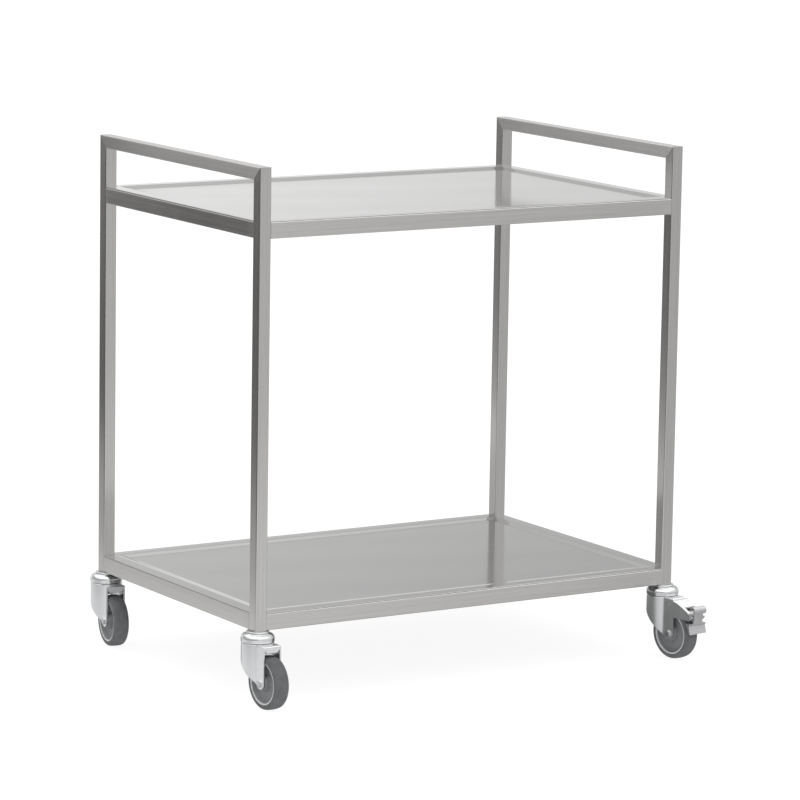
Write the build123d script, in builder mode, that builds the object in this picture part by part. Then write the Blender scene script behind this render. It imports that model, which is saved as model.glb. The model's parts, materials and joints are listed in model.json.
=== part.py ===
"""Two-tier serving trolley: a welded frame of square steel tube, two pressed trays and four swivel casters.

Millimetres. +X runs along the trolley to its right-hand end, +Y to its back and +Z up.
The origin is on the floor, under the middle of the frame.
"""
from build123d import *
import os
from collections import namedtuple
from math import cos, radians, sin

os.makedirs("parts", exist_ok=True)

# Frame
LENGTH = 770.0            # over the outer faces of the posts, along X
WIDTH = 515.0             # over the outer faces of the posts, along Y
HEIGHT = 824.0            # floor to the top of the handle bars
POST_FOOT = 117.0         # floor to the open lower end of a post
TUBE = 20.0               # square tube of the posts and the handle bars
RAIL_HEIGHT = 25.0        # the rails are deeper than they are wide
LOWER_RAIL_TOP = 142.0
UPPER_RAIL_TOP = 741.0
WALL = 1.5                # tube wall
TUBE_CORNER = 1.5         # outer corner radius of every tube
POST_X = (LENGTH - TUBE) / 2
POST_Y = (WIDTH - TUBE) / 2

# Pressed trays
SHEET = 1.5               # tray sheet
TRAY_INSET = 1.0          # tray edge back from the outer face of the rails
TRAY_NOTCH = TUBE + 0.4   # corner cut that clears a post
RIM = 24.0                # flat rim, from the outer face of the rails
BEVEL_END = 38.0          # where the sloping border reaches the sunk panel
DROP = 3.0                # how far the panel lies under the rim

# Caster head, from the post down
PLUG = 16.8               # square plug inside the post
PLUG_DEPTH = 30.0
PLUG_FLANGE = 18.0
PLUG_FLANGE_FOOT = 116.2
WASHER_R = 17.6
WASHER_FOOT = 113.2
DOME_R = 26.0
DOME_FOOT = 100.0
DOME_WALL = 2.2
DOME_BROW = (17.4, WASHER_FOOT)      # end of the flat top, as radius and height
DOME_SHOULDER = (23.4, 110.7)
DOME_BULGE = (DOME_R, 105.4)
DOME_LIP_R = 25.4
STEM_R = 5.0
STEM_FOOT = 88.0
STEM_TOP = 143.0
CUP_R = 19.0              # hardened cup that the upper balls run under
CUP_FOOT = 105.6
CUP_STEP = 108.2          # above this the cup narrows to sit under the dome's shoulder
CUP_NECK_R = 16.0
BALL_R = 2.2
BALL_COUNT = 14
BALL_PITCH_R = 15.0
BALL_GAP = 0.3            # running gap under the upper balls and over the lower ones
LOWER_BALL_R = 1.5
LOWER_PITCH_R = 11.0
RETAINER_R = 15.0
RETAINER_FOOT = 90.6

# Fork, in its own side view: along the trail from the swivel axis, and up from the floor
CROWN_TOP = 99.5
CROWN_R = 25.4
CROWN_HOLE_R = 8.0
RACE_TOP = 100.9          # raised race on the crown
RACE_R = 19.5
FORK_SHEET = 2.5
FORK_WIDTH = 32.0
FORK_FRONT = 41.5         # trailing edge of the side plates
FORK_BACK = 73.0          # lowest height of the skirt behind the swivel axis
FORK_EDGE = 2.2           # bend radius round the crown
WEB_FOOT = 88.5
WEB_RELIEF = (4.0, 5.0)   # cut beside the front web's lower corners, across and up
TRAIL = 32.0
WHEEL_R = 41.5
TIP_R = 9.5               # rounded end of a plate round the axle
SLANT = radians(-43.0)    # slope of the plate's lower edge
NECK = 6.0                # concave radius where the plates leave the crown

# Brake arm, rocker and shoe
ARM_START = 20.0
ARM_END = 85.0
ARM_END_TOP = 76.8
ARM_MIDDLE = (52.5, 93.4)
ARM_FOOT = 69.8
ARM_LIP = 79.5
SLOT_START = 63.0
SLOT_WIDTH = 21.6
PIN_AT = (79.5, 74.0)
PIN_R = 2.0
PIN_FIT = 0.05            # radial running clearance of the rocker on its pin
SPRING_PIN_AT = (31.4, 88.5)
SPRING_PIN_R = 1.5
BRAKE_TURN = 10.0         # rocker travel from released to locked, degrees
SHOE_GAP = 0.4            # from the locked shoe to the tread
PEDAL_SHEET = 2.0
LINK_WIDTH = 19.0
CURL_WIDTH = 26.0
CURL_AT = (82.5, 86.5)
CURL_R = 6.5
FOOT_WIDTH = 36.0
SHOE_WIDTH = 15.0

# Brake outlines in the fork's side view, brake released
LINK_OUTLINE = ((85.4, 81.5), (83.4, 81.5), (82.4, 74.0), (80.6, 63.5), (82.6, 63.5), (84.4, 74.0))
FOOT_SHELF = ((82.8, 65.2), (76.8, 64.2), (77.0, 62.2), (81.0, 61.6), (82.6, 63.0))
FOOT_PLATE = ((80.6, 64.6), (78.6, 63.0), (80.4, 55.0), (82.9, 48.0), (84.9, 48.6), (82.4, 56.0))
FOOT_CHEEK = ((74.0, 65.5), (80.0, 65.0), (82.6, 56.0), (84.0, 48.6), (82.0, 48.4))
FOOT_HOLLOW = ((70.0, 63.9), (78.8, 61.4), (80.4, 55.0), (82.0, 49.0), (76.0, 47.0), (68.0, 60.0))
PIN_EYE_R = 4.6
EYE_WEB = ((84.0, 80.0), (82.6, 68.0))       # where the pin eye's web meets the link
TONGUE = ((79.0, 78.4), (56.2, 85.0), (55.6, 83.0), (78.4, 74.4))
SHOE_OUTLINE = ((55.6, 83.0), (69.2, 77.87), (69.2, 74.0), (60.0, 66.0), (52.0, 76.0))
SPRING_LEAF = 1.0
SPRING_TOP = ((48.0, 89.6), (58.6, 86.9))    # upper face of the leaf, from its bend to its free end
PIN_PROUD = 0.6           # pin heads past the plates

# Wheel
TYRE_WIDTH = 25.0
TYRE_SHOULDER = 6.0
RIM_R = 33.6
RIM_RING = 2.2            # radial width of the raised ring next to the tyre
HUB_WIDTH = 23.6
WEB_HALF = 5.0            # half thickness of the hub's dished web
BOSS_R = 11.5
BOSS_HALF = 12.5          # half length of the boss
BOSS_DRAFT = 2.0          # slope of the boss and of the ring's inner side, as a change of radius
RING_DRAFT = 4.0
BEARING_R = 9.0
BEARING_HALF = 12.7
BEARING_BORE_R = 6.05
SLEEVE_R = 6.0
AXLE_R = 3.0
HEX = 10.0                # across flats of the axle's head and nut
HEAD_HEIGHT = 3.0
NUT_HEIGHT = 5.0
AXLE_END = 2.0            # thread that stands past the nut

Caster = namedtuple("Caster", "place x y heading braked")
CASTERS = (
    Caster("front_left", -POST_X, -POST_Y, -87.0, False),
    Caster("back_left", -POST_X, POST_Y, -96.5, False),
    Caster("front_right", POST_X, -POST_Y, -81.5, True),
    Caster("back_right", POST_X, POST_Y, 81.5, True),
)


def save(builder, name):
    """Label a finished piece and write it."""
    builder.part.label = name
    export_step(builder.part, f"parts/{name}.step")


# ------------------------------------------------------------------ welded frame

def tube_section(width, height):
    """Add a hollow tube section with rounded corners to the open sketch."""
    RectangleRounded(width, height, TUBE_CORNER)
    RectangleRounded(width - 2 * WALL, height - 2 * WALL, TUBE_CORNER / 3, mode=Mode.SUBTRACT)


def mitre(side):
    """The weld plane between a post and its handle bar, facing up and towards the middle."""
    return Plane(origin=(0, side * WIDTH / 2, HEIGHT), x_dir=(1, 0, 0), z_dir=(0, -side, 1))


def build_posts():
    for caster in CASTERS:
        with BuildPart() as post:
            with BuildSketch(Plane.XY.offset(POST_FOOT)):
                with Locations((caster.x, caster.y)):
                    tube_section(TUBE, TUBE)
            extrude(amount=HEIGHT - POST_FOOT)
            split(bisect_by=mitre(1 if caster.y > 0 else -1), keep=Keep.BOTTOM)
        save(post, f"post_{caster.place}")


def build_handle_bars():
    for place, x in (("left", -POST_X), ("right", POST_X)):
        with BuildPart() as bar:
            with BuildSketch(Plane.XZ.offset(-WIDTH / 2)):
                with Locations((x, HEIGHT - TUBE / 2)):
                    tube_section(TUBE, TUBE)
            extrude(amount=WIDTH)
            split(bisect_by=mitre(1), keep=Keep.TOP)
            split(bisect_by=mitre(-1), keep=Keep.TOP)
        save(bar, f"handle_bar_{place}")


def build_rails():
    for tier, top in (("lower", LOWER_RAIL_TOP), ("upper", UPPER_RAIL_TOP)):
        middle = top - RAIL_HEIGHT / 2
        for place, y in (("front", -POST_Y), ("back", POST_Y)):
            with BuildPart() as rail:
                with BuildSketch(Plane.YZ):
                    with Locations((y, middle)):
                        tube_section(TUBE, RAIL_HEIGHT)
                extrude(amount=LENGTH / 2 - TUBE, both=True)
            save(rail, f"{tier}_rail_{place}")
        for place, x in (("left", -POST_X), ("right", POST_X)):
            with BuildPart() as rail:
                with BuildSketch(Plane.XZ):
                    with Locations((x, middle)):
                        tube_section(TUBE, RAIL_HEIGHT)
                extrude(amount=WIDTH / 2 - TUBE, both=True)
            save(rail, f"{tier}_rail_{place}")


def pan_sections(top):
    """Mouth and panel of a tray's shallow pan whose rim lies at the given height."""
    with BuildSketch(Plane.XY.offset(top)) as mouth:
        Rectangle(LENGTH - 2 * RIM, WIDTH - 2 * RIM)
    with BuildSketch(Plane.XY.offset(top - DROP)) as panel:
        Rectangle(LENGTH - 2 * BEVEL_END, WIDTH - 2 * BEVEL_END)
    return [mouth.sketch, panel.sketch]


def build_trays():
    for tier, rail_top in (("lower", LOWER_RAIL_TOP), ("upper", UPPER_RAIL_TOP)):
        with BuildPart() as tray:
            with BuildSketch(Plane.XY.offset(rail_top)):
                Rectangle(LENGTH - 2 * TRAY_INSET, WIDTH - 2 * TRAY_INSET)
                with GridLocations(LENGTH - TRAY_NOTCH, WIDTH - TRAY_NOTCH, 2, 2):
                    Rectangle(TRAY_NOTCH, TRAY_NOTCH, mode=Mode.SUBTRACT)
            extrude(amount=SHEET)
            loft(pan_sections(rail_top))
            loft(pan_sections(rail_top + SHEET), mode=Mode.SUBTRACT)
        save(tray, f"{tier}_tray")


# ------------------------------------------------------------------ caster heads, fixed to the posts

def heads():
    """Locations of the four swivel axes."""
    return Locations(*[(caster.x, caster.y) for caster in CASTERS])


def disc(foot, top, radius, bore):
    """Add a flat ring on each swivel axis."""
    with BuildSketch(Plane.XY.offset(foot)) as ring:
        with heads():
            Circle(radius)
            Circle(bore, mode=Mode.SUBTRACT)
    extrude(ring.sketch, amount=top - foot)


def build_plugs():
    with BuildPart() as plugs:
        with BuildSketch(Plane.XY.offset(POST_FOOT)):
            with heads():
                RectangleRounded(PLUG, PLUG, 2 * TUBE_CORNER / 3)
        extrude(amount=PLUG_DEPTH)
        with BuildSketch(Plane.XY.offset(PLUG_FLANGE_FOOT)):
            with heads():
                Rectangle(PLUG_FLANGE, PLUG_FLANGE)
        extrude(amount=POST_FOOT - PLUG_FLANGE_FOOT)
        with BuildSketch(Plane.XY.offset(PLUG_FLANGE_FOOT)):
            with heads():
                Circle(STEM_R)
        extrude(amount=STEM_TOP - PLUG_FLANGE_FOOT, mode=Mode.SUBTRACT)
    save(plugs, "post_plugs")


def build_stems():
    with BuildPart() as stems:
        with BuildSketch(Plane.XY.offset(STEM_FOOT)):
            with heads():
                Circle(STEM_R)
        extrude(amount=STEM_TOP - STEM_FOOT)
        with BuildSketch(Plane.XY.offset(STEM_FOOT)):
            with heads():
                Circle(STEM_R * 1.7)
        extrude(amount=RETAINER_FOOT - STEM_FOOT)
        chamfer(stems.edges().group_by(Axis.Z)[-1], 1.0)
        chamfer(stems.edges().group_by(Axis.Z)[0], 1.2)
    save(stems, "caster_stems")


def build_washers():
    with BuildPart() as washers:
        disc(WASHER_FOOT, PLUG_FLANGE_FOOT, WASHER_R, STEM_R)
        outer = washers.edges().filter_by(GeomType.CIRCLE).group_by(SortBy.RADIUS)[-1]
        fillet(outer, 0.9)
    save(washers, "swivel_washers")


def build_domes():
    """Pressed cover over the upper balls: a flat top and a round side that draws in at its lip."""
    with BuildPart() as domes:
        for caster in CASTERS:
            with BuildSketch(Plane(origin=(caster.x, caster.y, 0), x_dir=(1, 0, 0), z_dir=(0, -1, 0))):
                with BuildLine():
                    roof = Line((STEM_R, WASHER_FOOT), DOME_BROW)
                    side = Spline(roof @ 1, DOME_SHOULDER, DOME_BULGE, (DOME_LIP_R, DOME_FOOT))
                    rim = Line(side @ 1, (DOME_LIP_R - DOME_WALL, DOME_FOOT))
                    inner = Spline(rim @ 1, (DOME_BULGE[0] - DOME_WALL, DOME_BULGE[1]),
                                   (DOME_SHOULDER[0] - 0.7 * DOME_WALL, DOME_SHOULDER[1] - 0.7 * DOME_WALL),
                                   (DOME_BROW[0], WASHER_FOOT - DOME_WALL))
                    ceiling = Line(inner @ 1, (STEM_R, WASHER_FOOT - DOME_WALL))
                    Line(ceiling @ 1, roof @ 0)
                make_face()
            revolve(axis=Axis((caster.x, caster.y, 0), (0, 0, 1)))
    save(domes, "swivel_domes")


def build_cups():
    with BuildPart() as cups:
        disc(CUP_FOOT, CUP_STEP, CUP_R, STEM_R)
        disc(CUP_STEP, WASHER_FOOT - DOME_WALL, CUP_NECK_R, STEM_R)
    save(cups, "upper_ball_cups")


def build_retainers():
    top = CROWN_TOP - FORK_SHEET - BALL_GAP - 2 * LOWER_BALL_R
    with BuildPart() as retainers:
        disc(RETAINER_FOOT, top, RETAINER_R, STEM_R)
        outer = retainers.edges().filter_by(GeomType.CIRCLE).group_by(SortBy.RADIUS)[-1]
        fillet(outer.group_by(Axis.Z)[0], 1.2)
    save(retainers, "lower_ball_cups")


def build_balls():
    upper = CUP_FOOT - BALL_R
    lower = CROWN_TOP - FORK_SHEET - BALL_GAP - LOWER_BALL_R
    with BuildPart() as balls:
        for caster in CASTERS:
            with Locations((caster.x, caster.y, upper)):
                with PolarLocations(BALL_PITCH_R, BALL_COUNT):
                    Sphere(BALL_R)
            with Locations((caster.x, caster.y, lower)):
                with PolarLocations(LOWER_PITCH_R, BALL_COUNT):
                    Sphere(LOWER_BALL_R)
    save(balls, "swivel_balls")


# ------------------------------------------------------------------ forks

def ground(caster, height=0.0):
    """Plan plane of a caster: origin on the swivel axis, x along the trail."""
    turn = radians(caster.heading)
    return Plane(origin=(caster.x, caster.y, height), x_dir=(cos(turn), sin(turn), 0), z_dir=(0, 0, 1))


def side(caster):
    """Side view plane of a caster: x along the trail, y up from the floor."""
    turn = radians(caster.heading)
    return Plane(origin=(caster.x, caster.y, 0), x_dir=(cos(turn), sin(turn), 0),
                 z_dir=(sin(turn), -cos(turn), 0))


def end_plane(caster):
    """Plane across a caster at its fork's trailing edge: x across the fork, y up from the floor."""
    turn = radians(caster.heading)
    return Plane(origin=(caster.x + FORK_FRONT * cos(turn), caster.y + FORK_FRONT * sin(turn), 0),
                 x_dir=(-sin(turn), cos(turn), 0), z_dir=(cos(turn), sin(turn), 0))


def crown_plan(length, inset):
    """Add the fork's plan: a disc round the swivel axis that runs into two parallel plates."""
    Circle(CROWN_R - inset)
    with Locations((length / 2, 0)):
        Rectangle(length, FORK_WIDTH - 2 * inset)
    necks = vertices().filter_by_position(Axis.X, 1, CROWN_R)
    fillet(necks, NECK + inset)


def plate_side():
    """Add the side view of a fork plate: crown, skirt, slanting lower edge and axle tip."""
    tangent = (TRAIL + TIP_R * sin(SLANT), WHEEL_R - TIP_R * cos(SLANT))
    slant_start = tangent[0] - (FORK_BACK - tangent[1]) / -(sin(SLANT) / cos(SLANT))
    Polygon((-CROWN_R - 1, CROWN_TOP), (FORK_FRONT, CROWN_TOP), (FORK_FRONT, WHEEL_R),
            (TRAIL, WHEEL_R), tangent, (slant_start, FORK_BACK), (-CROWN_R - 1, FORK_BACK), align=None)
    corner = vertices().sort_by_distance((slant_start, FORK_BACK))[0]
    fillet(corner, 12.0)
    with Locations((TRAIL, WHEEL_R)):
        Circle(TIP_R)


def arm_side():
    """Add the side view of a brake arm: an arched top that slopes down past the wheel."""
    with BuildLine() as outline:
        top = ThreePointArc((ARM_START, CROWN_TOP), ARM_MIDDLE, (ARM_END, ARM_END_TOP))
        Polyline(top @ 1, (ARM_LIP, ARM_FOOT), (ARM_START, ARM_FOOT), (ARM_START, CROWN_TOP))
    make_face(outline.edges())
    tip = vertices().filter_by_position(Axis.X, ARM_LIP - 1, ARM_LIP + 1)
    fillet(tip, 3.5)
    notch = vertices().filter_by_position(Axis.X, FORK_FRONT - 0.1, FORK_FRONT + 0.1)
    fillet(notch.filter_by_position(Axis.Y, ARM_FOOT - 1, ARM_FOOT + 1), 3.0)


def cavity_side():
    """Add the side view of the hollow under a braked fork's crown and arm."""
    with BuildLine() as outline:
        roof = Line((-CROWN_R, CROWN_TOP - FORK_SHEET), (ARM_START, CROWN_TOP - FORK_SHEET))
        top = ThreePointArc(roof @ 1, (ARM_MIDDLE[0], ARM_MIDDLE[1] - FORK_SHEET),
                            (ARM_END, ARM_END_TOP - FORK_SHEET))
        Polyline(top @ 1, (ARM_END + 9, ARM_END_TOP - 8), (ARM_END + 9, 0), (-CROWN_R, 0), roof @ 0)
    make_face(outline.edges())


def fork_cavity(caster):
    """The hollow between the plates, open below."""
    length = ARM_END + 8 if caster.braked else FORK_FRONT - FORK_SHEET
    with BuildPart() as cavity:
        with BuildSketch(ground(caster)):
            crown_plan(length, FORK_SHEET)
        extrude(amount=CROWN_TOP - FORK_SHEET)
        if caster.braked:
            with BuildSketch(side(caster)):
                cavity_side()
            extrude(amount=CROWN_R, both=True, mode=Mode.INTERSECT)
    return cavity.part


def cross_hole(caster, at, radius):
    """Cut a round hole through both plates."""
    with BuildSketch(side(caster)) as hole:
        with Locations(at):
            Circle(radius)
    extrude(hole.sketch, amount=FORK_WIDTH, both=True, mode=Mode.SUBTRACT)


def build_fork(caster):
    cavity = fork_cavity(caster)
    with BuildPart() as fork:
        with BuildSketch(ground(caster)):
            crown_plan(ARM_END + 1 if caster.braked else FORK_FRONT, 0)
        extrude(amount=CROWN_TOP)
        with BuildSketch(side(caster)):
            plate_side()
            if caster.braked:
                arm_side()
        extrude(amount=CROWN_R + 1, both=True, mode=Mode.INTERSECT)
        fillet(fork.edges().group_by(Axis.Z)[-1], FORK_EDGE)
        add(cavity, mode=Mode.SUBTRACT)
        if caster.braked:
            with BuildSketch(ground(caster)):
                with Locations(((SLOT_START + ARM_END + 8) / 2, 0)):
                    Rectangle(ARM_END + 8 - SLOT_START, SLOT_WIDTH)
            extrude(amount=CROWN_TOP + 1, mode=Mode.SUBTRACT)
            cross_hole(caster, PIN_AT, PIN_R)
            cross_hole(caster, SPRING_PIN_AT, SPRING_PIN_R)
        else:
            half = FORK_WIDTH / 2 - FORK_SHEET
            across, up = WEB_RELIEF
            with BuildSketch(end_plane(caster)):
                Polygon((-half, 0), (half, 0), (half, WEB_FOOT + up), (half - across, WEB_FOOT),
                        (across - half, WEB_FOOT), (-half, WEB_FOOT + up), align=None)
            extrude(amount=2 * FORK_SHEET, both=True, mode=Mode.SUBTRACT)
        with BuildSketch(ground(caster, CROWN_TOP)):
            Circle(RACE_R)
        extrude(amount=RACE_TOP - CROWN_TOP)
        with BuildSketch(ground(caster, CROWN_TOP - 2 * FORK_SHEET)):
            Circle(CROWN_HOLE_R)
        extrude(amount=3 * FORK_SHEET, mode=Mode.SUBTRACT)
        cross_hole(caster, (TRAIL, WHEEL_R), AXLE_R)
    save(fork, f"fork_{caster.place}")


# ------------------------------------------------------------------ axles and wheels

def axle_plane(caster, offset):
    """Plane across the axle at a signed distance from the wheel's middle, facing along the axle."""
    turn = radians(caster.heading)
    centre = (caster.x + TRAIL * cos(turn) + offset * sin(turn),
              caster.y + TRAIL * sin(turn) - offset * cos(turn), WHEEL_R)
    return Plane(origin=centre, x_dir=(cos(turn), sin(turn), 0), z_dir=(sin(turn), -cos(turn), 0))


def build_axle(caster):
    with BuildPart() as bolt:
        with BuildSketch(axle_plane(caster, FORK_WIDTH / 2)):
            RegularPolygon(HEX / 2, 6, major_radius=False, rotation=30)
        extrude(amount=HEAD_HEIGHT)
        with BuildSketch(axle_plane(caster, FORK_WIDTH / 2)):
            Circle(AXLE_R)
        extrude(amount=-(FORK_WIDTH + NUT_HEIGHT + AXLE_END))
    save(bolt, f"axle_bolt_{caster.place}")

    with BuildPart() as nut:
        with BuildSketch(axle_plane(caster, -FORK_WIDTH / 2)):
            RegularPolygon(HEX / 2, 6, major_radius=False, rotation=30)
            Circle(AXLE_R, mode=Mode.SUBTRACT)
        extrude(amount=-NUT_HEIGHT)
    save(nut, f"axle_nut_{caster.place}")

    with BuildPart() as sleeve:
        with BuildSketch(axle_plane(caster, 0)):
            Circle(SLEEVE_R)
            Circle(AXLE_R, mode=Mode.SUBTRACT)
        extrude(amount=FORK_WIDTH / 2 - FORK_SHEET, both=True)
    save(sleeve, f"axle_sleeve_{caster.place}")


def wheel_section(caster):
    """Plane through the axle: x out along the axle, y up from its centre line."""
    turn = radians(caster.heading)
    return Plane(origin=axle_plane(caster, 0).origin, x_dir=(sin(turn), -cos(turn), 0),
                 z_dir=(-cos(turn), -sin(turn), 0))


def wheel_axis(caster):
    turn = radians(caster.heading)
    return Axis(axle_plane(caster, 0).origin, (sin(turn), -cos(turn), 0))


def build_wheel(caster):
    with BuildPart() as tyre:
        with BuildSketch(wheel_section(caster)):
            with Locations((0, (WHEEL_R + RIM_R) / 2)):
                Rectangle(TYRE_WIDTH, WHEEL_R - RIM_R)
            shoulders = vertices().group_by(Axis.Y)[-1]
            fillet(shoulders, TYRE_SHOULDER)
            chamfer(vertices().group_by(Axis.Y)[0], 0.6)
        revolve(axis=wheel_axis(caster))
    save(tyre, f"tyre_{caster.place}")

    half = HUB_WIDTH / 2
    ring_foot = RIM_R - RIM_RING
    face = [(BOSS_HALF, BEARING_R), (BOSS_HALF, BOSS_R), (WEB_HALF, BOSS_R + BOSS_DRAFT),
            (WEB_HALF, ring_foot - RING_DRAFT), (half, ring_foot), (half, RIM_R)]
    other_face = [(-x, radius) for x, radius in reversed(face)]
    with BuildPart() as hub:
        with BuildSketch(wheel_section(caster)):
            Polygon(*face, *other_face, align=None)
        revolve(axis=wheel_axis(caster))
    save(hub, f"hub_{caster.place}")

    with BuildPart() as bearing:
        with BuildSketch(axle_plane(caster, 0)):
            Circle(BEARING_R)
            Circle(BEARING_BORE_R, mode=Mode.SUBTRACT)
        extrude(amount=BEARING_HALF, both=True)
    save(bearing, f"bearing_{caster.place}")


# ------------------------------------------------------------------ brake

def turned(point, about, angle):
    """A side-view point turned about another, anticlockwise, by an angle in degrees."""
    dx, dz = point[0] - about[0], point[1] - about[1]
    turn = radians(angle)
    return (about[0] + dx * cos(turn) - dz * sin(turn), about[1] + dx * sin(turn) + dz * cos(turn))


def slab(caster, points, width, mode=Mode.ADD):
    """Add or cut a side-view polygon as a slab across the middle of the fork."""
    with BuildSketch(side(caster)) as profile:
        Polygon(*points, align=None)
    extrude(profile.sketch, amount=width / 2, both=True, mode=mode)


def build_rocker(caster):
    """Bent sheet rocker: curled release tab above, link between the arm tips, foot plate below."""
    pin_x, pin_z = PIN_AT
    with BuildPart() as rocker:
        slab(caster, LINK_OUTLINE, LINK_WIDTH)
        with BuildSketch(side(caster)):
            with Locations(CURL_AT):
                Circle(CURL_R)
                Circle(CURL_R - PEDAL_SHEET, mode=Mode.SUBTRACT)
            with Locations((CURL_AT[0] - CURL_R, CURL_AT[1] - CURL_R)):
                Rectangle(2 * CURL_R, 2.6 * CURL_R, align=(Align.CENTER, Align.CENTER), mode=Mode.SUBTRACT)
        extrude(amount=CURL_WIDTH / 2, both=True)
        for outline in (FOOT_SHELF, FOOT_PLATE, FOOT_CHEEK):
            slab(caster, outline, FOOT_WIDTH)
        slab(caster, FOOT_HOLLOW, FOOT_WIDTH - 2 * PEDAL_SHEET, Mode.SUBTRACT)
        with BuildSketch(side(caster)):
            with Locations(PIN_AT):
                Circle(PIN_EYE_R)
            Polygon((pin_x, pin_z - PIN_EYE_R), (pin_x, pin_z + PIN_EYE_R), *EYE_WEB, align=None)
        extrude(amount=LINK_WIDTH / 2, both=True)
        slab(caster, TONGUE, SHOE_WIDTH)
        with BuildSketch(side(caster)):
            with Locations(PIN_AT):
                Circle(PIN_R + PIN_FIT)
        extrude(amount=FORK_WIDTH, both=True, mode=Mode.SUBTRACT)
    save(rocker, f"brake_pedal_{caster.place}")


def build_shoe(caster):
    """Shoe under the rocker's tongue, with a face that fits the tread when the brake is on."""
    centre = turned((TRAIL, WHEEL_R), PIN_AT, -BRAKE_TURN)
    with BuildPart() as shoe:
        with BuildSketch(side(caster)):
            Polygon(*SHOE_OUTLINE, align=None)
            with Locations(centre):
                Circle(WHEEL_R + SHOE_GAP, mode=Mode.SUBTRACT)
        extrude(amount=SHOE_WIDTH / 2, both=True)
    save(shoe, f"brake_shoe_{caster.place}")


def build_brake_pins(caster):
    with BuildPart() as pins:
        for at, radius in ((PIN_AT, PIN_R), (SPRING_PIN_AT, SPRING_PIN_R)):
            with BuildSketch(side(caster)):
                with Locations(at):
                    Circle(radius)
            extrude(amount=FORK_WIDTH / 2 + PIN_PROUD, both=True)
    save(pins, f"brake_pins_{caster.place}")


def build_brake_spring(caster):
    """Leaf wrapped over its pin, with its free end above the rocker's tongue."""
    pin_x, pin_z = SPRING_PIN_AT
    with BuildPart() as spring:
        with BuildSketch(side(caster)):
            with Locations(SPRING_PIN_AT):
                Circle(SPRING_PIN_R + SPRING_LEAF)
            bend, tip = SPRING_TOP
            Polygon((pin_x, pin_z + SPRING_PIN_R), (pin_x, pin_z + SPRING_PIN_R + SPRING_LEAF), bend, tip,
                    (tip[0], tip[1] - SPRING_LEAF), (bend[0], bend[1] - SPRING_LEAF), align=None)
            with Locations(SPRING_PIN_AT):
                Circle(SPRING_PIN_R, mode=Mode.SUBTRACT)
        extrude(amount=SHOE_WIDTH / 2, both=True)
    save(spring, f"brake_spring_{caster.place}")


build_posts()
build_handle_bars()
build_rails()
build_trays()
build_plugs()
build_stems()
build_washers()
build_domes()
build_cups()
build_retainers()
build_balls()
for each in CASTERS:
    build_fork(each)
    build_axle(each)
    build_wheel(each)
    if each.braked:
        build_rocker(each)
        build_shoe(each)
        build_brake_pins(each)
        build_brake_spring(each)
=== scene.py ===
"""Two-tier service trolley: brushed stainless tube, two pressed trays and four swivel castors.

Metres. The origin is on the floor under the middle of the frame, +X runs to the braked end, +Y to the
back and +Z up. A castor's own sizes are in millimetres and are turned into metres by MM.
"""

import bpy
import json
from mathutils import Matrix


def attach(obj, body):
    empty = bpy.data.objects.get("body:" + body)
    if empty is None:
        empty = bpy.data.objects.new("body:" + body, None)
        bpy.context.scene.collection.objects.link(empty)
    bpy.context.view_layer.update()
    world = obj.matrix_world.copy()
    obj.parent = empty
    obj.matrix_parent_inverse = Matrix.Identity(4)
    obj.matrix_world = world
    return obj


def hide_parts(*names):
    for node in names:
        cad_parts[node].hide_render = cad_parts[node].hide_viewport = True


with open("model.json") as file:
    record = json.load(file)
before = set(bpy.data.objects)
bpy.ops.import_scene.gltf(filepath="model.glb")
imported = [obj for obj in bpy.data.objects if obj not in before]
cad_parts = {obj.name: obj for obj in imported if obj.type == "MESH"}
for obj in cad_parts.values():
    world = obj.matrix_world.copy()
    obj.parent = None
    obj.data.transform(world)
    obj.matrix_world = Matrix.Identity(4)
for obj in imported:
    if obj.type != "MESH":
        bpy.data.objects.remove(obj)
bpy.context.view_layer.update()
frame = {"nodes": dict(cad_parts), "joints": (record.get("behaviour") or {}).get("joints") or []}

import json
import logging
from dataclasses import dataclass, field
from enum import Enum
from functools import partial
from typing import Any

import bmesh
import bpy
import numpy as np
from mathutils import Matrix

LOG = logging.getLogger("trolley")
MM = 0.001
TURN = 2.0 * np.pi
UP = (0.0, 0.0, 1.0)
PLACES = ("front_left", "back_left", "front_right", "back_right")
BRAKED = ("front_right", "back_right")
JOINTS = {joint["name"]: joint for joint in frame["joints"]}
GRAIN_MAP = "grain"
END_DISTANCE = "from_end"
MERGE = 2e-7
FLAT = 0.004
CELL_CUTS = ((0, (0, 1, 2, 3)), (1, (0, 1, 2)), (1, (0, 2, 3)), (2, (0, 1, 3)), (2, (1, 2, 3)))

Colour = tuple[float, float, float]
Section = tuple[tuple[float, float, float], ...]
Band = tuple[float, float]


class Slot(Enum):
    """The record's material slots."""

    TUBE = "brushed_tube"
    TRAY = "tray_sheet"
    CHROME = "chrome"
    FORK = "fork_plate"
    PEDAL = "pedal_plate"
    ZINC = "zinc"
    HARDENED = "hardened"
    TYRE = "tyre"
    HUB = "hub"


# ------------------------------------------------------------------ node trees


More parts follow.
